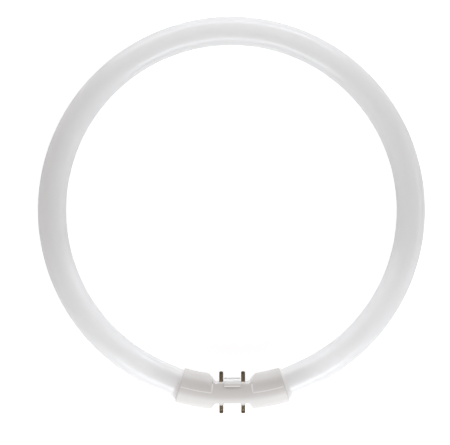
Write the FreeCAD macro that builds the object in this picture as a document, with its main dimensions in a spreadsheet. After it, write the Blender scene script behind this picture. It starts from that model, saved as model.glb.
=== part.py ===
"""Circular fluorescent tube with a two-part cap, four contact pins and their lead wires.

The ring lies in the XY plane with its centre at the origin, and the cap sits at -Y.
Lengths are in millimetres and angles in degrees. The front is the side that faces +Z.
"""
import FreeCAD
import Part
import Sketcher

import math
import os

# Driving sizes: name, value, what it measures.
SIZES = [
    ("ring_diameter", 225.0, "across the outside of the glass ring"),
    ("tube_diameter", 16.5, "outside of the glass tube"),
    ("bend_end_angle", 24.0, "from the cap's middle to where the glass stops bending"),
    ("glass_end_angle", 12.0, "from the cap's middle to the end of the glass"),
    ("glass_end_round", 2.5, "rounding of the sealed end's rim"),
    ("dish_depth", 2.5, "how far the sealed end is drawn in"),
    ("dish_diameter", 8.4, "bottom of the drawn-in dish"),
    ("exhaust_diameter", 3.0, "sealed-off exhaust tip in the dish"),
    ("exhaust_length", 5.5, "exhaust tip from the bottom of the dish"),
    ("cap_end_angle", 16.7, "from the cap's middle to each end of the cap"),
    ("cap_wall", 1.2, "wall of the moulded cap"),
    ("cap_end_round", 0.5, "rounding of the cap's open ends"),
    ("cap_edge_round", 0.4, "rounding of the edges around the pin recesses"),
    ("tube_clearance", 0.15, "least gap between the glass and the cap"),
    ("flat_offset", 5.8, "from the cap's middle line to each pin flat"),
    ("flat_width", 19.6, "width of each pin flat"),
    ("recess_round", 0.9, "rounding between a pin flat and its shoulders"),
    ("shoulder_angle", 36.0, "slope of the recess sides from the pins' direction"),
    ("tongue_angle", 0.8, "how far the outer half's tongues reach past the inner flat's corners"),
    ("seam_gap", 0.07, "gap between the two cap halves"),
    ("seam_bevel", 0.3, "bevel along the seam"),
    ("hook_width", 9.3, "width of a snap hook"),
    ("hook_rise", 2.2, "height of a snap hook above the pin flat"),
    ("hook_drop", 1.85, "how far a snap hook reaches down over the tongue"),
    ("hook_leg", 0.62, "thickness of a snap hook's leg"),
    ("hook_bevel", 0.55, "bevel at the end of the leg"),
    ("hook_round", 1.7, "rounding of a snap hook's top"),
    ("pin_spacing", 12.7, "between the axes of two pins on one flat"),
    ("pin_diameter", 2.35, "outside of a contact pin"),
    ("pin_length", 6.4, "how far a pin stands out of its flat"),
    ("pin_neck", 3.0, "thicker part of a pin inside the flat"),
    ("pin_bore", 1.1, "hollow of a pin"),
    ("pin_tip_round", 0.7, "rounding of a pin's tip"),
    ("pin_tip_wall", 1.0, "closed end of a pin"),
    ("pin_fit", 0.02, "gap around a pin in its hole"),
    ("collar_diameter", 4.4, "collar that holds a pin behind the flat"),
    ("collar_height", 0.8, "thickness of the collar"),
    ("crimp_depth", 0.28, "depth of the crimp mark in a pin"),
    ("crimp_height", 1.3, "length of the crimp mark along a pin"),
    ("crimp_place", 1.7, "from a pin's tip to the middle of its crimp mark"),
    ("lead_diameter", 0.6, "lead wire"),
    ("lead_spread", 5.6, "between the two lead wires of one sealed end"),
    ("lead_stub", 6.0, "straight lead wire at the sealed end"),
    ("lead_bend", 1.5, "radius of the bends of a lead wire"),
    ("lead_play", 0.3, "from the end of a lead wire to the closed end of its pin"),
]

# Sizes that follow from the driving ones.
DERIVED = [
    ("tube_radius", "sizes.tube_diameter / 2"),
    ("bend_radius", "(sizes.ring_diameter - sizes.tube_diameter) / 2"),
    ("straight_run", "derived.bend_radius * tan(sizes.bend_end_angle - sizes.glass_end_angle)"),
    ("bore_inside", "(derived.bend_radius - derived.tube_radius)"
                    " / cos(sizes.bend_end_angle - sizes.cap_end_angle) - sizes.tube_clearance"),
    ("bore_outside", "sqrt((derived.bend_radius + derived.tube_radius) ^ 2 + derived.straight_run ^ 2)"
                     " + sizes.tube_clearance"),
    ("cap_ring", "(derived.bore_inside + derived.bore_outside) / 2"),
    ("bore_radius", "(derived.bore_outside - derived.bore_inside) / 2"),
    ("cap_radius", "derived.bore_radius + sizes.cap_wall"),
    ("inner_flat", "derived.cap_ring - sizes.flat_offset"),
    ("outer_flat", "derived.cap_ring + sizes.flat_offset"),
    ("glass_end_x", "derived.bend_radius * sin(sizes.bend_end_angle)"
                    " - derived.straight_run * cos(sizes.bend_end_angle)"),
    ("glass_end_y", "-derived.bend_radius * cos(sizes.bend_end_angle)"
                    " - derived.straight_run * sin(sizes.bend_end_angle)"),
    ("closure_length", "sizes.glass_end_round + sizes.dish_depth"),
    ("hollow_angle", "2.5 * sizes.cap_end_angle"),
    ("seam_edge", "sizes.seam_gap / 2 + sizes.seam_bevel"),
    ("seam_reach", "sqrt(derived.cap_radius ^ 2 - derived.seam_edge ^ 2)"),
    ("plate_radius", "derived.bore_radius - sizes.seam_gap"),
    ("plate_half", "sqrt(derived.plate_radius ^ 2 - sizes.flat_offset ^ 2)"),
    ("seam_angle", "180 / pi * sizes.seam_gap / derived.cap_ring"),
    ("tongue_side", "atan(sizes.flat_width / 2 / derived.inner_flat) / 1deg + sizes.tongue_angle"),
    ("seat_side", "derived.tongue_side + derived.seam_angle"),
    ("leg_inside", "sqrt(derived.cap_radius ^ 2 - (sizes.flat_offset - sizes.hook_drop) ^ 2)"
                   " + sizes.seam_gap"),
    ("leg_outside", "derived.leg_inside + sizes.hook_leg"),
    ("collar_back", "sizes.cap_wall + sizes.collar_height"),
    ("lead_end", "sizes.pin_length - sizes.pin_tip_wall - sizes.lead_play"),
]

# How closely a point has to lie on a surface to count as on it.
SLACK = 0.02

doc = FreeCAD.newDocument("circular_fluorescent_tube")


def fill_sheets():
    """Write the driving sizes and the sizes that follow from them into two spreadsheets."""
    sizes = doc.addObject("Spreadsheet::Sheet", "sizes")
    for row, (name, value, meaning) in enumerate(SIZES, start=1):
        sizes.set(f"A{row}", name)
        sizes.set(f"B{row}", str(value))
        sizes.set(f"C{row}", meaning)
        sizes.setAlias(f"B{row}", name)
    doc.recompute()
    derived = doc.addObject("Spreadsheet::Sheet", "derived")
    for row, (name, formula) in enumerate(DERIVED, start=1):
        derived.set(f"A{row}", name)
        derived.set(f"B{row}", "=" + formula.replace("derived.", ""))
        derived.setAlias(f"B{row}", name)
        doc.recompute()
    return sizes, derived


sheet, follow = fill_sheets()


def new_body(name):
    """Add an empty body whose label is its node name."""
    body = doc.addObject("PartDesign::Body", name)
    body.Label = name
    body.Placement = FreeCAD.Placement()
    return body


def origin_part(body, role):
    """Give the named plane or axis of a body's own origin."""
    for feature in body.Origin.OriginFeatures:
        if feature.Role == role:
            return feature
    raise ValueError(role)


def new_sketch(body, name, plane="XY_Plane", offset=None):
    """Add a sketch on one of the body's origin planes, shifted by the given expressions."""
    sketch = body.newObject("Sketcher::SketchObject", f"{body.Name}_{name}")
    sketch.AttachmentSupport = [(origin_part(body, plane), "")]
    sketch.MapMode = "FlatFace"
    for key, expression in (offset or {}).items():
        sketch.setExpression(f"AttachmentOffset.{key}", expression)
    return sketch


def hold(sketch, kind, expression, *points):
    """Add a constraint whose value is an expression of the sheets' sizes."""
    value = sketch.evalExpression(expression)
    number = sketch.addConstraint(Sketcher.Constraint(kind, *points, value))
    name = f"size_{number}"
    sketch.renameConstraint(number, name)
    sketch.setExpression(f"Constraints.{name}", expression)


def place(sketch, geometry, end, corner):
    """Hold one point of a sketch line or arc at a pair of expressions."""
    hold(sketch, "DistanceX", corner[0], -1, 1, geometry, end)
    hold(sketch, "DistanceY", corner[1], -1, 1, geometry, end)


def arc_between(start, end, radius):
    """Give the shorter arc that turns left from start to end."""
    chord = end - start
    half = chord.Length / 2
    rise = math.sqrt(max(radius ** 2 - half ** 2, 0.0))
    left = FreeCAD.Vector(-chord.y, chord.x, 0).normalize()
    centre = (start + end) / 2 + left * rise
    circle = Part.Circle(centre, FreeCAD.Vector(0, 0, 1), radius)
    return Part.ArcOfCircle(circle, circle.parameter(start), circle.parameter(end))


def outline(sketch, corners, arcs=None):
    """Draw a closed outline through corners given as pairs of expressions.

    arcs names the sides that are arcs by the number of the corner they start at. A radius
    alone turns left, and one with a minus sign before it turns right.
    """
    arcs = arcs or {}
    points = []
    for across, along in corners:
        points.append(FreeCAD.Vector(sketch.evalExpression(across), sketch.evalExpression(along), 0))
    starts = []
    ends = []
    for number, start in enumerate(points):
        end = points[(number + 1) % len(points)]
        radius = arcs.get(number)
        if radius is None:
            geometry = sketch.addGeometry(Part.LineSegment(start, end))
            starts.append((geometry, 1))
            ends.append((geometry, 2))
        elif radius.startswith("-"):
            size = radius[1:]
            geometry = sketch.addGeometry(arc_between(end, start, sketch.evalExpression(size)))
            starts.append((geometry, 2))
            ends.append((geometry, 1))
            hold(sketch, "Radius", size, geometry)
        else:
            geometry = sketch.addGeometry(arc_between(start, end, sketch.evalExpression(radius)))
            starts.append((geometry, 1))
            ends.append((geometry, 2))
            hold(sketch, "Radius", radius, geometry)
    for number, corner in enumerate(corners):
        sketch.addConstraint(Sketcher.Constraint("Coincident", *ends[number - 1], *starts[number]))
        place(sketch, *starts[number], corner)


def ring(sketch, centre, diameter):
    """Draw a circle at a pair of expressions."""
    middle = FreeCAD.Vector(sketch.evalExpression(centre[0]), sketch.evalExpression(centre[1]), 0)
    radius = sketch.evalExpression(diameter) / 2
    geometry = sketch.addGeometry(Part.Circle(middle, FreeCAD.Vector(0, 0, 1), radius))
    hold(sketch, "Diameter", diameter, geometry)
    place(sketch, geometry, 3, centre)


def turn(body, kind, name, sketch, axis, angle=None):
    """Add a revolved feature about an axis; a part turn is even on both sides of the sketch."""
    feature = body.newObject(f"PartDesign::{kind}", f"{body.Name}_{name}")
    feature.Profile = sketch
    feature.ReferenceAxis = axis
    if angle is None:
        feature.Angle = 360.0
    else:
        feature.Midplane = True
        feature.setExpression("Angle", angle)
    doc.recompute()
    return feature


def cut_through(body, name, sketch):
    """Cut a sketch through the whole body, to both sides of its plane."""
    feature = body.newObject("PartDesign::Pocket", f"{body.Name}_{name}")
    feature.Profile = sketch
    feature.SideType = "Symmetric"
    feature.Type = "ThroughAll"
    doc.recompute()
    return feature


def mirror(body, name, features, plane):
    """Repeat features on the other side of one of the body's origin planes."""
    feature = body.newObject("PartDesign::Mirrored", f"{body.Name}_{name}")
    feature.Originals = features
    feature.MirrorPlane = (origin_part(body, plane), [""])
    body.Tip = feature
    doc.recompute()
    return feature


def picked(shape, test):
    """Name the edges of a shape whose sample points all pass the test."""
    names = []
    for number, edge in enumerate(shape.Edges, start=1):
        if all(test(point) for point in edge.discretize(5)):
            names.append(f"Edge{number}")
    return names


def soften(body, kind, name, size, test):
    """Round or bevel the edges of the body's last feature that pass the test."""
    base = body.Tip
    names = picked(base.Shape, test)
    feature = body.newObject(f"PartDesign::{kind}", f"{body.Name}_{name}")
    feature.Base = (base, names)
    feature.setExpression("Radius" if kind == "Fillet" else "Size", size)
    doc.recompute()
    return feature


def near(value, target):
    """Tell whether two lengths agree."""
    return abs(value - target) < SLACK


def from_axis(point):
    """Distance of a point from the ring's axis."""
    return math.hypot(point.x, point.y)


def from_cap_line(point):
    """Distance of a point from the cap's middle line."""
    return math.hypot(from_axis(point) - follow.cap_ring, point.z)


def around(point):
    """Angle of a point around the ring, from the middle of the cap."""
    return abs(math.degrees(math.atan2(point.x, -point.y)))


def glass_tube():
    """Sweep half of the glass along its bend, close its end, and mirror it."""
    body = new_body("glass_tube")
    path = new_sketch(body, "path")
    radius = follow.bend_radius
    low = math.radians(sheet.bend_end_angle - 90)
    circle = Part.Circle(FreeCAD.Vector(), FreeCAD.Vector(0, 0, 1), radius)
    bend = path.addGeometry(Part.ArcOfCircle(circle, low, math.pi / 2))
    start = FreeCAD.Vector(radius * math.cos(low), radius * math.sin(low), 0)
    end = FreeCAD.Vector(follow.glass_end_x, follow.glass_end_y, 0)
    run = path.addGeometry(Part.LineSegment(start, end))
    path.addConstraint(Sketcher.Constraint("Coincident", bend, 3, -1, 1))
    path.addConstraint(Sketcher.Constraint("PointOnObject", bend, 2, -2))
    path.addConstraint(Sketcher.Constraint("Tangent", bend, 1, run, 1))
    hold(path, "Radius", "derived.bend_radius", bend)
    hold(path, "DistanceX", "derived.bend_radius * sin(sizes.bend_end_angle)", -1, 1, bend, 1)
    hold(path, "Distance", "derived.straight_run - derived.closure_length", run)
    section = new_sketch(body, "section", "YZ_Plane")
    ring(section, ("derived.bend_radius", "0"), "sizes.tube_diameter")
    doc.recompute()
    sweep = body.newObject("PartDesign::AdditivePipe", "glass_tube_bend")
    sweep.Profile = section
    sweep.Spine = (path, ["Edge1", "Edge2"])
    doc.recompute()
    shift = {
        "Base.x": "derived.glass_end_x",
        "Base.y": "derived.glass_end_y",
        "Rotation.Angle": "180 + sizes.bend_end_angle",
    }
    seal = new_sketch(body, "seal", offset=shift)
    tip = "sizes.exhaust_length - sizes.dish_depth"
    tip_radius = "sizes.exhaust_diameter / 2"
    corners = [
        ("-derived.closure_length", "0"),
        (tip, "0"),
        (f"{tip} - {tip_radius}", tip_radius),
        ("-sizes.dish_depth", tip_radius),
        ("-sizes.dish_depth", "sizes.dish_diameter / 2"),
        ("0", "derived.tube_radius - sizes.glass_end_round"),
        ("-sizes.glass_end_round", "derived.tube_radius"),
        ("-derived.closure_length", "derived.tube_radius"),
    ]
    outline(seal, corners, {1: tip_radius, 5: "sizes.glass_end_round"})
    doc.recompute()
    closure = turn(body, "Revolution", "closure", seal, (seal, ["H_Axis"]))
    mirror(body, "other_end", [sweep, closure], "YZ_Plane")
    return body


def half_section(body, side):
    """Sketch the half of the cap's round section on one side of the seam, bevelled along the seam."""
    sketch = new_sketch(body, "section", "YZ_Plane")
    chord = f"-derived.cap_ring + ({side}1) * sizes.seam_gap / 2"
    rim = f"-derived.cap_ring + ({side}1) * derived.seam_edge"
    reach = f"({side}1) * derived.seam_reach"
    short = f"({side}1) * (derived.seam_reach - sizes.seam_bevel)"
    corners = [
        (chord, f"-({short})"),
        (chord, short),
        (rim, reach),
        (rim, f"-({reach})"),
    ]
    outline(sketch, corners, {2: "-derived.cap_radius"})
    doc.recompute()
    return sketch


def recess(body, name, flat, outward, wall="0", bend="sizes.recess_round"):
    """Cut the recess around two pins: a flat across the pins and two sloped shoulders."""
    sketch = new_sketch(body, name)
    depth = "2 * derived.cap_radius"
    slope = "sizes.shoulder_angle"
    half = f"(sizes.flat_width / 2 + {wall} * (1 - sin({slope})) / cos({slope}))"
    wide = f"{half} + {depth} * tan({slope})"
    level = f"-{flat} - ({outward}1) * {wall}"
    far = f"{level} + ({outward}1) * {depth}"
    top = [(wide, far), (f"-({wide})", far)]
    if bend:
        ease = f"{bend} * tan(45 - {slope} / 2)"
        side = f"{half} + {ease} * sin({slope})"
        rise = f"{level} + ({outward}1) * {ease} * cos({slope})"
        low = [(f"{ease} - {half}", level), (f"{half} - {ease}", level), (side, rise)]
        radius = bend if outward == "+" else f"-{bend}"
        outline(sketch, low + top + [(f"-({side})", rise)], {1: radius, 5: radius})
    else:
        outline(sketch, [(f"-{half}", level), (half, level)] + top)
    doc.recompute()
    return cut_through(body, f"{name}_cut", sketch)


def hollow(body):
    """Take the cap's inside out of a cap half, right through its ends, leaving an even wall."""
    inside = new_body(f"{body.Name}_inside")
    section = new_sketch(inside, "section", "YZ_Plane")
    ring(section, ("-derived.cap_ring", "0"), "2 * derived.bore_radius")
    doc.recompute()
    turn(inside, "Revolution", "bore", section, (origin_part(inside, "Z_Axis"), [""]),
         "derived.hollow_angle")
    recess(inside, "inner_wall", "derived.inner_flat", "+", "sizes.cap_wall", None)
    recess(inside, "outer_wall", "derived.outer_flat", "-", "sizes.cap_wall", None)
    cut = body.newObject("PartDesign::Boolean", f"{body.Name}_hollow")
    cut.Type = "Cut"
    cut.setObjects([inside])
    doc.recompute()
    return cut


def sleeve(body, side):
    """Turn half of the cap's round section about the ring's axis."""
    section = half_section(body, side)
    return turn(body, "Revolution", "sleeve", section, (origin_part(body, "Z_Axis"), [""]),
                "2 * sizes.cap_end_angle")


def pin_holes(body):
    """Bore the two holes for the pins through the body's flat."""
    sketch = new_sketch(body, "pin_places", "XZ_Plane")
    for side in ("-", ""):
        ring(sketch, (f"{side}sizes.pin_spacing / 2", "0"), "sizes.pin_neck + 2 * sizes.pin_fit")
    doc.recompute()
    return cut_through(body, "pin_holes", sketch)


def snap_hooks(body):
    """Stand a hook on the flat between the pins, over the front tongue, and mirror it to the back."""
    sketch = new_sketch(body, "hook_profile", "YZ_Plane")
    flat = "-derived.inner_flat"
    root = f"{flat} - sizes.cap_wall / 2"
    top = f"{flat} + sizes.hook_rise"
    end = f"{flat} - sizes.hook_drop"
    plate_edge = "derived.plate_half - sizes.seam_gap"
    corners = [
        (root, "derived.plate_half / 2"),
        (top, "derived.plate_half / 2"),
        (top, "derived.leg_outside - sizes.hook_round"),
        (f"{top} - sizes.hook_round", "derived.leg_outside"),
        (f"{end} + sizes.hook_bevel", "derived.leg_outside"),
        (end, "derived.leg_outside - sizes.hook_bevel"),
        (end, "derived.leg_inside"),
        (flat, "derived.leg_inside"),
        (flat, plate_edge),
        (root, plate_edge),
    ]
    outline(sketch, corners, {2: "sizes.hook_round"})
    doc.recompute()
    pad = body.newObject("PartDesign::Pad", "cap_inner_half_hook")
    pad.Profile = sketch
    pad.SideType = "Symmetric"
    pad.setExpression("Length", "sizes.hook_width")
    doc.recompute()
    return mirror(body, "back_hook", [pad], "XY_Plane")


def tongue_seat(body):
    """Clear the front and back of the middle for the other half's tongues."""
    section = new_sketch(body, "seat_section", "YZ_Plane")
    ring(section, ("-derived.cap_ring", "0"), "2 * derived.plate_radius")
    ring(section, ("-derived.cap_ring", "0"), "2 * derived.cap_radius + 2 * sizes.cap_wall")
    doc.recompute()
    return turn(body, "Groove", "tongue_seat", section, (origin_part(body, "Z_Axis"), [""]),
                "2 * derived.seat_side")


def tongues(body):
    """Carry the sleeve's wall on over the front and back of the middle, up to the inner flat."""
    section = new_sketch(body, "tongue_section", "YZ_Plane")
    low = "derived.seam_edge"
    high = "derived.plate_radius"
    for side in ("", "-"):
        corners = [
            (f"-derived.cap_ring - {low}", f"{side}sqrt(derived.bore_radius ^ 2 - {low} ^ 2)"),
            (f"-derived.cap_ring - {low}", f"{side}sqrt(derived.cap_radius ^ 2 - {low} ^ 2)"),
            (f"-derived.cap_ring + {high}", f"{side}sqrt(derived.cap_radius ^ 2 - {high} ^ 2)"),
            (f"-derived.cap_ring + {high}", f"{side}sqrt(derived.bore_radius ^ 2 - {high} ^ 2)"),
        ]
        if side:
            outline(section, corners, {1: "derived.cap_radius", 3: "-derived.bore_radius"})
        else:
            outline(section, corners, {1: "-derived.cap_radius", 3: "derived.bore_radius"})
    doc.recompute()
    turn(body, "Revolution", "tongues", section, (origin_part(body, "Z_Axis"), [""]),
         "2 * derived.tongue_side")
    return recess(body, "tongue_trim", "derived.inner_flat", "+", "sizes.seam_gap", None)


def on_sleeve(point):
    """Tell whether a point lies on the outside of the cap's round sleeve."""
    return near(from_cap_line(point), follow.cap_radius)


def at_end(point):
    """Tell whether a point lies on the rim of one of the cap's open ends."""
    return on_sleeve(point) and near(around(point), sheet.cap_end_angle)


def recess_edge(point):
    """Tell whether a point lies where a pin recess cuts the cap's round sleeve."""
    beyond_flat = abs(point.y + follow.cap_ring) > sheet.flat_offset - SLACK
    return on_sleeve(point) and beyond_flat and around(point) < sheet.cap_end_angle - SLACK


def cap_half(name, side, flat):
    """Build the form of a cap half: sleeve, pin recess, rounded edges and an even wall."""
    body = new_body(name)
    sleeve(body, side)
    recess(body, "recess", flat, side)
    soften(body, "Fillet", "end_round", "sizes.cap_end_round", at_end)
    soften(body, "Fillet", "recess_round", "sizes.cap_edge_round", recess_edge)
    hollow(body)
    return body


def cap_inner_half():
    """Build the cap half on the side of the ring's centre."""
    body = cap_half("cap_inner_half", "+", "derived.inner_flat")
    tongue_seat(body)

    def seat_edge(point):
        return on_sleeve(point) and near(around(point), follow.seat_side)

    soften(body, "Chamfer", "seat_bevel", "sizes.seam_bevel", seat_edge)
    pin_holes(body)
    snap_hooks(body)
    return body


def cap_outer_half():
    """Build the cap half on the outside of the ring, with its two tongues."""
    body = cap_half("cap_outer_half", "-", "derived.outer_flat")
    tongues(body)
    pin_holes(body)
    return body


def contact_pin(name, side, flat, outward):
    """Turn a hollow pin with a collar behind the flat, and press a crimp mark in its front and back."""
    body = new_body(name)
    shift = {
        "Base.x": f"{side}1 * sizes.pin_spacing / 2",
        "Base.y": f"-{flat}",
        "Rotation.Angle": f"90 - ({outward}90)",
    }
    profile = new_sketch(body, "profile", offset=shift)
    shank = "sizes.pin_diameter / 2"
    corners = [
        ("sizes.pin_bore / 2", "-derived.collar_back"),
        ("sizes.collar_diameter / 2", "-derived.collar_back"),
        ("sizes.collar_diameter / 2", "-sizes.cap_wall"),
        ("sizes.pin_neck / 2", "-sizes.cap_wall"),
        ("sizes.pin_neck / 2", "0"),
        (shank, "0"),
        (shank, "sizes.pin_length - sizes.pin_tip_round"),
        (f"{shank} - sizes.pin_tip_round", "sizes.pin_length"),
        ("0", "sizes.pin_length"),
        ("0", "sizes.pin_length - sizes.pin_tip_wall"),
        ("sizes.pin_bore / 2", "sizes.pin_length - sizes.pin_tip_wall"),
    ]
    outline(profile, corners, {6: "sizes.pin_tip_round"})
    doc.recompute()
    turn(body, "Revolution", "shank", profile, (profile, ["V_Axis"]))
    crimp = new_sketch(body, "crimp_profile", "YZ_Plane")
    middle = f"-{flat} + ({outward}1) * (sizes.pin_length - sizes.crimp_place)"
    before = f"{middle} - sizes.crimp_height / 2"
    after = f"{middle} + sizes.crimp_height / 2"
    for face in ("", "-"):
        notch = [
            (before, f"{face}1 * {shank}"),
            (middle, f"{face}1 * ({shank} - sizes.crimp_depth)"),
            (after, f"{face}1 * {shank}"),
            (after, f"{face}1 * sizes.pin_diameter"),
            (before, f"{face}1 * sizes.pin_diameter"),
        ]
        outline(crimp, notch)
    doc.recompute()
    cut_through(body, "crimp", crimp)
    return body


def lead_wire(name, flat, outward):
    """Run a lead wire from the sealed glass end on the right into the hollow of its pin."""
    body = new_body(name)
    path = new_sketch(body, "path")
    spread = f"({outward}1) * sizes.lead_spread / 2"
    pin_x = "sizes.pin_spacing / 2"
    top_y = f"-{flat} + ({outward}1) * derived.lead_end"
    root_x = (f"derived.glass_end_x + sizes.dish_depth * cos(sizes.bend_end_angle)"
              f" - {spread} * sin(sizes.bend_end_angle)")
    root_y = (f"derived.glass_end_y + sizes.dish_depth * sin(sizes.bend_end_angle)"
              f" + {spread} * cos(sizes.bend_end_angle)")
    straight = "derived.lead_end + derived.collar_back + sizes.lead_play"
    down = FreeCAD.Vector(0, -1 if outward == "+" else 1, 0)
    across = FreeCAD.Vector(1, 0, 0)
    slope = math.radians(sheet.bend_end_angle)
    run = FreeCAD.Vector(math.cos(slope), math.sin(slope), 0)
    radius = sheet.lead_bend
    top = FreeCAD.Vector(path.evalExpression(pin_x), path.evalExpression(top_y), 0)
    mouth = top + down * path.evalExpression(straight)
    turned = mouth + (down + across) * radius
    root = FreeCAD.Vector(path.evalExpression(root_x), path.evalExpression(root_y), 0)
    stub = root - run * sheet.lead_stub
    eased = stub - (run + across) * (radius * math.tan(slope / 2) / 2)
    in_pin = path.addGeometry(Part.LineSegment(top, mouth))
    if outward == "+":
        elbow = path.addGeometry(arc_between(mouth, turned, radius))
        elbow_ends = (1, 2)
    else:
        elbow = path.addGeometry(arc_between(turned, mouth, radius))
        elbow_ends = (2, 1)
    level = path.addGeometry(Part.LineSegment(turned, eased))
    ease = path.addGeometry(arc_between(eased, stub, radius))
    at_glass = path.addGeometry(Part.LineSegment(stub, root))
    path.addConstraint(Sketcher.Constraint("Vertical", in_pin))
    path.addConstraint(Sketcher.Constraint("Tangent", in_pin, 2, elbow, elbow_ends[0]))
    path.addConstraint(Sketcher.Constraint("Tangent", elbow, elbow_ends[1], level, 1))
    path.addConstraint(Sketcher.Constraint("Tangent", level, 2, ease, 1))
    path.addConstraint(Sketcher.Constraint("Tangent", ease, 2, at_glass, 1))
    place(path, in_pin, 1, (pin_x, top_y))
    place(path, at_glass, 2, (root_x, root_y))
    hold(path, "Distance", straight, in_pin)
    hold(path, "Distance", "sizes.lead_stub", at_glass)
    hold(path, "DistanceX", "sizes.lead_stub * cos(sizes.bend_end_angle)", at_glass, 1, at_glass, 2)
    hold(path, "Radius", "sizes.lead_bend", elbow)
    hold(path, "Radius", "sizes.lead_bend", ease)
    section = new_sketch(body, "section", "XZ_Plane", {"Base.z": f"-({top_y})"})
    ring(section, (pin_x, "0"), "sizes.lead_diameter")
    doc.recompute()
    sweep = body.newObject("PartDesign::AdditivePipe", f"{name}_run")
    sweep.Profile = section
    sweep.Spine = (path, [f"Edge{number + 1}" for number in (in_pin, elbow, level, ease, at_glass)])
    doc.recompute()
    return body


def left_twin(name, right):
    """Mirror a piece to the left side of the cap."""
    twin = doc.addObject("Part::Mirroring", name)
    twin.Label = name
    twin.Source = right
    twin.Normal = FreeCAD.Vector(1, 0, 0)
    doc.recompute()
    return twin


def build():
    """Make every piece in its place."""
    pieces = [glass_tube(), cap_inner_half(), cap_outer_half()]
    for where, flat, outward in (("inner", "derived.inner_flat", "+"), ("outer", "derived.outer_flat", "-")):
        pieces.append(contact_pin(f"pin_{where}_left", "-", flat, outward))
        pieces.append(contact_pin(f"pin_{where}_right", "+", flat, outward))
        wire = lead_wire(f"lead_{where}_right", flat, outward)
        pieces.append(wire)
        pieces.append(left_twin(f"lead_{where}_left", wire))
    return pieces


def check(pieces):
    """Stop when a feature failed or a piece isn't one sound solid."""
    doc.recompute()
    for item in doc.Objects:
        if "Invalid" in item.State or "Error" in item.State:
            raise RuntimeError(f"{item.Name}: {item.getStatusString()}")
    for piece in pieces:
        shape = piece.Shape
        if shape.isNull() or not shape.isValid() or len(shape.Solids) != 1:
            raise RuntimeError(f"{piece.Label} isn't one sound solid")


def write(pieces):
    """Write each piece as a STEP file named after its node."""
    os.makedirs("parts", exist_ok=True)
    for piece in pieces:
        piece.Shape.exportStep(f"parts/{piece.Label}.step")


parts = build()
check(parts)
write(parts)
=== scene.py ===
"""Materials, light, floor and camera for the circular fluorescent tube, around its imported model."""

import math

import bmesh
import bpy
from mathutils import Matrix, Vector


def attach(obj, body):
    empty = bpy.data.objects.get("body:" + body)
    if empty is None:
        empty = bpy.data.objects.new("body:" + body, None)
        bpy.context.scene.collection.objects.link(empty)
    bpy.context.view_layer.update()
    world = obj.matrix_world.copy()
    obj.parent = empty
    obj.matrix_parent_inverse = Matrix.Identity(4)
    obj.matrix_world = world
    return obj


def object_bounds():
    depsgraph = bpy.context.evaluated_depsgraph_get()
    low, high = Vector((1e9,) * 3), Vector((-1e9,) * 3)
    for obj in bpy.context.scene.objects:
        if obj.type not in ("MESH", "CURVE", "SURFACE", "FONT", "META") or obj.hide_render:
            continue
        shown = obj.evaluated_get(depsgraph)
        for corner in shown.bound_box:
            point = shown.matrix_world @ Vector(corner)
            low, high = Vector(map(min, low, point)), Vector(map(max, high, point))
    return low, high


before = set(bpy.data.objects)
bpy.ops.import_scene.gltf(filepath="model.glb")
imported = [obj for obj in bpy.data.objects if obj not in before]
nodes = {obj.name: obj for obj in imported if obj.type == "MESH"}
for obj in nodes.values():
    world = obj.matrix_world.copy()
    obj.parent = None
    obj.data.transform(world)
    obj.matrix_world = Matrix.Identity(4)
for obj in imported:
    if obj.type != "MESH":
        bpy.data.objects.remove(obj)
cad_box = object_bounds()
scene = bpy.context.scene
scene.view_settings.view_transform = "Standard"

FLOOR_Z = cad_box[0][2] - 0.0001
CAP_RING = 0.10572
CAP_RADIUS = 0.010288
CAP_MIDDLE = (0.0, -CAP_RING, 0.0)
INNER_FLAT = -0.09992
OUTER_FLAT = -0.11152
PIN_OFFSET = 0.00635
HOOK_HALF = 0.00466
TUBE_RING = 0.10425
TUBE_RADIUS = 0.00825
BEND_END = math.radians(24.0)
CAP_END = math.radians(16.7)
SEAM_CORNER = math.radians(6.42)
SEAM_END = math.radians(16.35)
TONGUE_START = 0.1007
BEAD_DEPTH = 0.00025


def add(tree, kind, inputs=None, **settings):
    """Add a node, set its properties, and link or set its inputs."""
    item = tree.nodes.new(kind)
    for key, value in settings.items():
        setattr(item, key, value)
    for key, value in (inputs or {}).items():
        if isinstance(value, bpy.types.NodeSocket):
            tree.links.new(value, item.inputs[key])
        else:
            item.inputs[key].default_value = value
    return item


def new_material(name):
    """Add a material whose tree holds one principled shader, and give both."""
    material = bpy.data.materials.new(name)
    material.use_nodes = True
    shader = material.node_tree.nodes["Principled BSDF"]
    return material, material.node_tree, shader


def place(tree):
    """Give the socket with a point's place in the model, in metres."""
    return add(tree, "ShaderNodeTexCoord").outputs["Object"]


def noise(tree, where, scale, detail=2.0):
    """Give a noise value around 0.5 with features of about 1 / scale metres."""
    inputs = {"Vector": where, "Scale": scale, "Detail": detail}
    return add(tree, "ShaderNodeTexNoise", inputs).outputs["Fac"]


def spread(tree, value, low, high, start=0.3, end=0.7):
    """Map a value between start and end to the range from low to high."""
    inputs = {"Value": value, "From Min": start, "From Max": end, "To Min": low, "To Max": high}
    return add(tree, "ShaderNodeMapRange", inputs).outputs["Result"]


def blend(tree, factor, first, second):
    """Mix two colours, given as sockets or as red, green and blue."""
    mix = add(tree, "ShaderNodeMix", data_type="RGBA")
    tree.links.new(factor, mix.inputs["Factor"])
    for socket, colour in ((mix.inputs[6], first), (mix.inputs[7], second)):
        if isinstance(colour, bpy.types.NodeSocket):
            tree.links.new(colour, socket)
        else:
            socket.default_value = (*colour, 1.0)
    return mix.outputs[2]


def stretched(tree, where, scale):
    """Give places stretched by a factor along each axis."""
    return add(tree, "ShaderNodeMapping", {"Vector": where, "Scale": scale}).outputs["Vector"]


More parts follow.
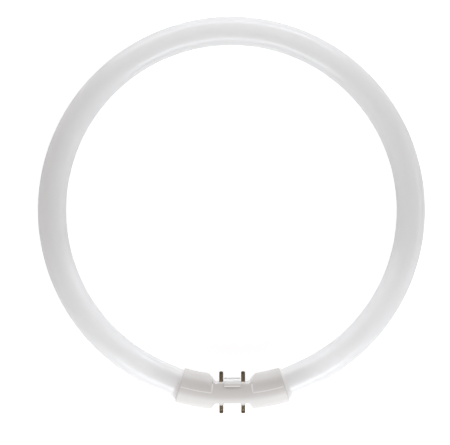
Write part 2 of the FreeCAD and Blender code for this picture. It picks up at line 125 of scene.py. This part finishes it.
def bump(tree, shader, height, distance):
    """Raise the surface by a height value times a distance in metres."""
    inputs = {"Height": height, "Distance": distance}
    tree.links.new(add(tree, "ShaderNodeBump", inputs).outputs["Normal"], shader.inputs["Normal"])


def coated_glass():
    """White powder coating seen through clear, slightly wavy glass, painted paler next to the cap as
    painted light.
    """
    material, tree, shader = new_material("coated_glass")
    where = place(tree)
    cloud = spread(tree, noise(tree, where, 28.0, 3.0), 0.0, 1.0)
    grain = spread(tree, noise(tree, where, 1400.0, 2.0), 0.0, 1.0)
    clouded = blend(tree, cloud, (0.942, 0.942, 0.947), (0.92, 0.922, 0.93))
    coated = blend(tree, grain, clouded, (0.932, 0.933, 0.939))
    shader.inputs["Roughness"].default_value = 0.6
    shader.inputs["Specular IOR Level"].default_value = 0.1
    shader.inputs["Subsurface Radius"].default_value = (1.0, 1.0, 1.0)
    from_cap = {0: where, 1: CAP_MIDDLE}
    away = add(tree, "ShaderNodeVectorMath", from_cap, operation="DISTANCE").outputs["Value"]
    # Next to the cap the tube is less translucent and its colour is painted paler, painted light that
    # lifts the shade by the cap's ends.
    translucent_beyond_painted_light = spread(tree, away, 0.0, 1.0, 0.034, 0.056)
    tree.links.new(translucent_beyond_painted_light, shader.inputs["Subsurface Weight"])
    tree.links.new(blend(tree, translucent_beyond_painted_light, (0.96, 0.955, 0.955), coated), shader.inputs["Base Color"])
    shader.inputs["Subsurface Scale"].default_value = 0.040
    shader.inputs["Coat Weight"].default_value = 0.7
    shader.inputs["Coat Roughness"].default_value = 0.16
    shader.inputs["Coat IOR"].default_value = 1.5
    bump(tree, shader, noise(tree, where, 70.0, 1.0), 0.00002)
    return material


def cap_plastic():
    """White moulded plastic with a fine satin skin, painted paler over the snap hooks as painted light.
    """
    material, tree, shader = new_material("cap_plastic")
    where = place(tree)
    cloud = spread(tree, noise(tree, where, 60.0, 3.0), 0.0, 1.0)
    cap_tone = blend(tree, cloud, (0.79, 0.768, 0.748), (0.76, 0.738, 0.718))
    axes = add(tree, "ShaderNodeSeparateXYZ", {"Vector": where})
    sideways = add(tree, "ShaderNodeMath", {0: axes.outputs["X"]}, operation="ABSOLUTE").outputs[0]
    between = spread(tree, sideways, 1.0, 0.0, HOOK_HALF, HOOK_HALF + 0.0002)
    inward = spread(tree, axes.outputs["Y"], 0.0, 1.0, INNER_FLAT - 0.0001, INNER_FLAT + 0.0003)
    painted_light_hooks = add(tree, "ShaderNodeMath", {0: between, 1: inward}, operation="MULTIPLY").outputs[0]
    # The snap hooks are painted paler, painted light that lifts the shade on and between them.
    colour = blend(tree, painted_light_hooks, cap_tone, (0.98, 0.975, 0.97))
    tree.links.new(colour, shader.inputs["Base Color"])
    shader.inputs["Specular IOR Level"].default_value = 0.3
    skin = noise(tree, where, 2600.0, 2.0)
    tree.links.new(spread(tree, skin, 0.30, 0.40), shader.inputs["Roughness"])
    bump(tree, shader, skin, 0.00001)
    return material


def seam_highlight_plastic():
    """The same plastic, painted whiter as a painted highlight along the seams, with a faint mottle."""
    material, tree, shader = new_material("seam_highlight_plastic")
    where = place(tree)
    bead_mottle = noise(tree, where, 1500.0, 2.0)
    # The whiter colour is a painted highlight, standing in for light caught along the seams.
    colour = blend(tree, spread(tree, bead_mottle, 0.0, 1.0), (0.985, 0.975, 0.965), (0.96, 0.948, 0.936))
    tree.links.new(colour, shader.inputs["Base Color"])
    tree.links.new(spread(tree, bead_mottle, 0.2, 0.32), shader.inputs["Roughness"])
    bump(tree, shader, bead_mottle, 0.00002)
    return material


def cement():
    """Dull white cement with a fine grain."""
    material, tree, shader = new_material("cement")
    where = place(tree)
    grain = noise(tree, where, 2200.0, 3.0)
    colour = blend(tree, spread(tree, grain, 0.0, 1.0), (0.93, 0.915, 0.905), (0.88, 0.865, 0.855))
    tree.links.new(colour, shader.inputs["Base Color"])
    tree.links.new(spread(tree, grain, 0.55, 0.75), shader.inputs["Roughness"])
    bump(tree, shader, grain, 0.00003)
    return material


def pin_brass():
    """Dulled brass drawn along the pin, darker towards the tip."""
    material, tree, shader = new_material("pin_brass")
    where = place(tree)
    drawn = noise(tree, stretched(tree, where, (1.0, 0.06, 1.0)), 5200.0, 2.0)
    stain = noise(tree, where, 900.0, 3.0)
    bright = blend(tree, spread(tree, drawn, 0.0, 1.0), (0.21, 0.157, 0.098), (0.30, 0.23, 0.145))
    dulled = blend(tree, spread(tree, stain, 0.0, 0.6), bright, (0.065, 0.052, 0.04))
    axes = add(tree, "ShaderNodeSeparateXYZ", {"Vector": where})
    from_middle = {0: axes.outputs["Y"], 1: CAP_RING}
    along = add(tree, "ShaderNodeMath", from_middle, operation="ADD").outputs[0]
    reach = add(tree, "ShaderNodeMath", {0: along}, operation="ABSOLUTE").outputs[0]
    tip = spread(tree, reach, 0.05, 0.8, 0.0064, 0.0112)
    tree.links.new(blend(tree, tip, dulled, (0.055, 0.039, 0.026)), shader.inputs["Base Color"])
    shader.inputs["Metallic"].default_value = 1.0
    tree.links.new(spread(tree, stain, 0.24, 0.42), shader.inputs["Roughness"])
    bump(tree, shader, drawn, 0.000012)
    return material


def lead_steel():
    """Thin plated wire with faint drawing marks."""
    material, tree, shader = new_material("lead_wire")
    where = place(tree)
    drawn = noise(tree, where, 4000.0, 2.0)
    colour = blend(tree, spread(tree, drawn, 0.0, 1.0), (0.52, 0.51, 0.49), (0.62, 0.61, 0.60))
    tree.links.new(colour, shader.inputs["Base Color"])
    shader.inputs["Metallic"].default_value = 1.0
    tree.links.new(spread(tree, drawn, 0.28, 0.40), shader.inputs["Roughness"])
    return material


finishes = {
    "glass_tube": coated_glass(),
    "cap_": cap_plastic(),
    "pin_": pin_brass(),
    "lead_": lead_steel(),
}
for name, item in nodes.items():
    for start, material in finishes.items():
        if name.startswith(start):
            for holder in item.material_slots:
                holder.material = material


def solid(name, loops, material, closed=False):
    """Skin closed loops of points into one watertight piece that rides with the lamp."""
    count = len(loops[0])
    faces = []
    for row in range(len(loops) if closed else len(loops) - 1):
        near, far = row * count, (row + 1) % len(loops) * count
        for spot in range(count):
            after = (spot + 1) % count
            faces.append((near + spot, near + after, far + after, far + spot))
    if not closed:
        final = (len(loops) - 1) * count
        faces += [tuple(range(count)), tuple(range(final, final + count))]
    mesh = bpy.data.meshes.new(name)
    mesh.from_pydata([point for loop in loops for point in loop], [], faces)
    form = bmesh.new()
    form.from_mesh(mesh)
    bmesh.ops.recalc_face_normals(form, faces=form.faces)
    form.to_mesh(mesh)
    form.free()
    mesh.polygons.foreach_set("use_smooth", [True] * len(faces))
    mesh.set_sharp_from_angle(angle=math.radians(40.0))
    mesh.materials.append(material)
    piece = bpy.data.objects.new(name, mesh)
    scene.collection.objects.link(piece)
    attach(piece, "root")


def on_cap(turn, ring, side, lift):
    """Give a point on the cap's sleeve, by its angle from the middle and its distance from the axis."""
    lean = (ring - CAP_RING) / CAP_RADIUS
    out = CAP_RING + (CAP_RADIUS + lift) * lean
    up = (CAP_RADIUS + lift) * math.sqrt(1.0 - lean * lean)
    return (out * math.sin(turn), -out * math.cos(turn), side * up)


def bead_section(half, crest, fall):
    """Give a bead's outline: a low crown across its width and a flat foot in the cap's wall."""
    shares = [-1.0 + step / 4.0 for step in range(9)]
    crown = [(half * share, crest - fall * share * share) for share in shares]
    return crown + [(half, -BEAD_DEPTH), (-half, -BEAD_DEPTH)]


def seam_beads(material):
    """Lay the beads that carry a painted highlight along the seam and the tongues of the cap, front and
    back.
    """
    seam_steps, tongue_steps = 24, 16
    for face, side in (("front", 1.0), ("back", -1.0)):
        for hand, sign in (("left", -1.0), ("right", 1.0)):
            section = bead_section(half=0.00036, crest=-0.000008, fall=0.00002)
            along = []
            for step in range(seam_steps + 1):
                turn = sign * (SEAM_CORNER + (SEAM_END - SEAM_CORNER) * step / seam_steps)
                along.append([on_cap(turn, CAP_RING + across, side, lift)
                              for across, lift in section])
            solid(f"seam_highlight_bead_{face}_{hand}", along, material)
            across = []
            for step in range(tongue_steps + 1):
                ring = TONGUE_START + (CAP_RING - TONGUE_START) * step / tongue_steps
                past_half = max(0.0, 2.0 * step / tongue_steps - 1.0)
                section = bead_section(half=0.00055, crest=0.00004 - 0.00005 * past_half, fall=0.00007)
                across.append([on_cap(sign * SEAM_CORNER + aside / ring, ring, side, lift)
                               for aside, lift in section])
            solid(f"tongue_highlight_bead_{face}_{hand}", across, material)


def cement_rings(material):
    """Fill the gap between glass and cap with the white cement that shows at the cap's ends."""
    bore = 0.00912
    foot = 1.002 * TUBE_RADIUS
    rim_angle = CAP_END - 0.002
    hollow = 0.075
    run = TUBE_RING * math.tan(BEND_END - CAP_END) - 0.0018
    spokes = 64
    for hand, sign in (("left", -1.0), ("right", 1.0)):
        outward = Vector((sign * math.sin(BEND_END), -math.cos(BEND_END), 0.0))
        onward = Vector((-sign * math.cos(BEND_END), -math.sin(BEND_END), 0.0))
        centre = TUBE_RING * outward + run * onward
        loops = []
        for step in range(spokes):
            turn = 2.0 * math.pi * step / spokes
            spoke = math.cos(turn) * outward + Vector((0.0, 0.0, math.sin(turn)))
            low = centre + foot * spoke
            rim = CAP_RING + bore * math.cos(turn)
            high = Vector((sign * rim * math.sin(rim_angle), -rim * math.cos(rim_angle),
                           bore * math.sin(turn)))
            loop = []
            for share in (0.0, 0.25, 0.5, 0.75, 1.0):
                point = low.lerp(high, share)
                dip = hollow * share * (1.0 - share) * (high - low).length
                loop.append(tuple(point + dip * (centre - point).normalized()))
            back = low.lerp(high, 0.9) - 0.0004 * spoke + 0.0006 * onward
            loop.append(tuple(back))
            loops.append(loop)
        solid(f"cement_ring_{hand}", loops, material, closed=True)


def collar_profile(height):
    """Give a collar's outline as radius and rise, from its foot over the rim to its bore."""
    flare = min(0.0006, 0.6 * height)
    return [(0.0021, -0.0001), (0.0018, 0.2 * flare), (0.00153, 0.55 * flare), (0.00142, flare),
            (0.0014, 0.9 * height), (0.00133, height), (0.00123, height),
            (0.00119, 0.8 * height), (0.00119, -0.0001)]


def pin_collars(material):
    """Set the low moulded collar around the foot of each contact pin."""
    steps = 32
    rows = (("inner", INNER_FLAT, 1.0, 0.0004), ("outer", OUTER_FLAT, -1.0, 0.0017))
    for row, base, facing, height in rows:
        for hand, sign in (("left", -1.0), ("right", 1.0)):
            loops = []
            for step in range(steps):
                turn = 2.0 * math.pi * step / steps
                loops.append([(sign * PIN_OFFSET + radius * math.cos(turn), base + facing * rise,
                               radius * math.sin(turn)) for radius, rise in collar_profile(height)])
            solid(f"pin_collar_{row}_{hand}", loops, material, closed=True)


def seen_directly(tree):
    """Give 1 where the camera sees a surface, also in a reflection or through glass, and else 0."""
    path = add(tree, "ShaderNodeLightPath")
    seen = path.outputs["Is Camera Ray"]
    for name in ("Is Glossy Ray", "Is Transmission Ray"):
        either = {0: seen, 1: path.outputs[name]}
        seen = add(tree, "ShaderNodeMath", either, operation="MAXIMUM").outputs[0]
    return seen


def studio_floor():
    """Lay a pale floor under the lamp that looks white and keeps a soft shadow."""
    half = 4.0
    corners = [(-half, -half), (half, -half), (half, half), (-half, half)]
    mesh = bpy.data.meshes.new("floor")
    mesh.from_pydata([(x, y, FLOOR_Z) for x, y in corners], [], [(0, 1, 2, 3)])
    floor = bpy.data.objects.new("floor", mesh)
    scene.collection.objects.link(floor)
    material, tree, shader = new_material("studio_floor")
    where = place(tree)
    grain = spread(tree, noise(tree, where, 180.0, 3.0), 0.0, 1.0)
    colour = blend(tree, grain, (0.80, 0.805, 0.815), (0.815, 0.82, 0.83))
    tree.links.new(colour, shader.inputs["Base Color"])
    shader.inputs["Roughness"].default_value = 0.9
    shader.inputs["Specular IOR Level"].default_value = 0.0
    away = add(tree, "ShaderNodeVectorMath", {0: where}, operation="LENGTH").outputs["Value"]
    near_glow, far_glow = 0.6, 0.85
    glow_by_place = spread(tree, away, near_glow, far_glow, 0.25, 0.5)
    level = {0: seen_directly(tree), 1: glow_by_place}
    glow = add(tree, "ShaderNodeMath", level, operation="MULTIPLY").outputs[0]
    shader.inputs["Emission Color"].default_value = (1.0, 1.0, 1.0, 1.0)
    tree.links.new(glow, shader.inputs["Emission Strength"])
    mesh.materials.append(material)


def soft_box(name, place_at, aim, width, height, power):
    """Hang a soft rectangular lamp that faces a point."""
    data = bpy.data.lights.new(name, "AREA")
    data.shape = "RECTANGLE"
    data.size = width
    data.size_y = height
    data.energy = power
    data.color = (0.96, 1.0, 1.04)
    lamp = bpy.data.objects.new(name, data)
    lamp.location = place_at
    lamp.rotation_euler = (Vector(aim) - Vector(place_at)).to_track_quat("-Z", "Y").to_euler()
    lamp.visible_camera = False
    scene.collection.objects.link(lamp)


def studio_light():
    """Dim warm surroundings that look white, a strong soft box by the cap and weaker ones around."""
    world = bpy.data.worlds.new("studio")
    world.use_nodes = True
    scene.world = world
    tree = world.node_tree
    surround = tree.nodes["Background"]
    seen = seen_directly(tree)
    ambient, white = (0.20, 0.17, 0.15), (1.0, 1.0, 1.0)
    tree.links.new(blend(tree, seen, ambient, white), surround.inputs["Color"])
    middle = (0.0, 0.0, 0.0)
    soft_box("near_box", (0.0, -0.5, 0.22), middle, 0.8, 0.24, 2.5)
    soft_box("far_box", (0.0, 0.538, 0.114), middle, 0.8, 0.20, 1.6)
    soft_box("far_top_box", (0.0, 0.20, 0.22), middle, 0.4, 0.16, 0.13)
    soft_box("right_box", (0.50, 0.0, 0.10), middle, 0.5, 0.20, 0.50)
    soft_box("left_box", (-0.50, 0.0, 0.10), middle, 0.5, 0.20, 0.16)
    soft_box("card_box", (0.0, -0.02, 0.022), CAP_MIDDLE, 0.14, 0.04, 0.017)


def camera():
    """Look straight down on the ring, framed and very slightly turned as in the photograph."""
    distance = 1.0
    pixel = 0.0005811
    picture_width, picture_height = 450, 445
    ring_column, ring_row = 231.4, 210.3
    frame_width = picture_width * pixel
    turn = math.radians(-0.26)
    across = (picture_width / 2 - ring_column) * pixel
    along = (ring_row - picture_height / 2) * pixel
    data = bpy.data.cameras.new("camera")
    data.sensor_fit = "HORIZONTAL"
    data.sensor_width = 36.0
    data.lens = data.sensor_width * distance / frame_width
    eye = bpy.data.objects.new("camera", data)
    eye.location = (across * math.cos(turn) - along * math.sin(turn),
                    across * math.sin(turn) + along * math.cos(turn), distance)
    eye.rotation_euler = (0.0, 0.0, turn)
    scene.collection.objects.link(eye)
    scene.camera = eye


seam_beads(seam_highlight_plastic())
cement_rings(cement())
pin_collars(finishes["cap_"])
studio_floor()
studio_light()
camera()
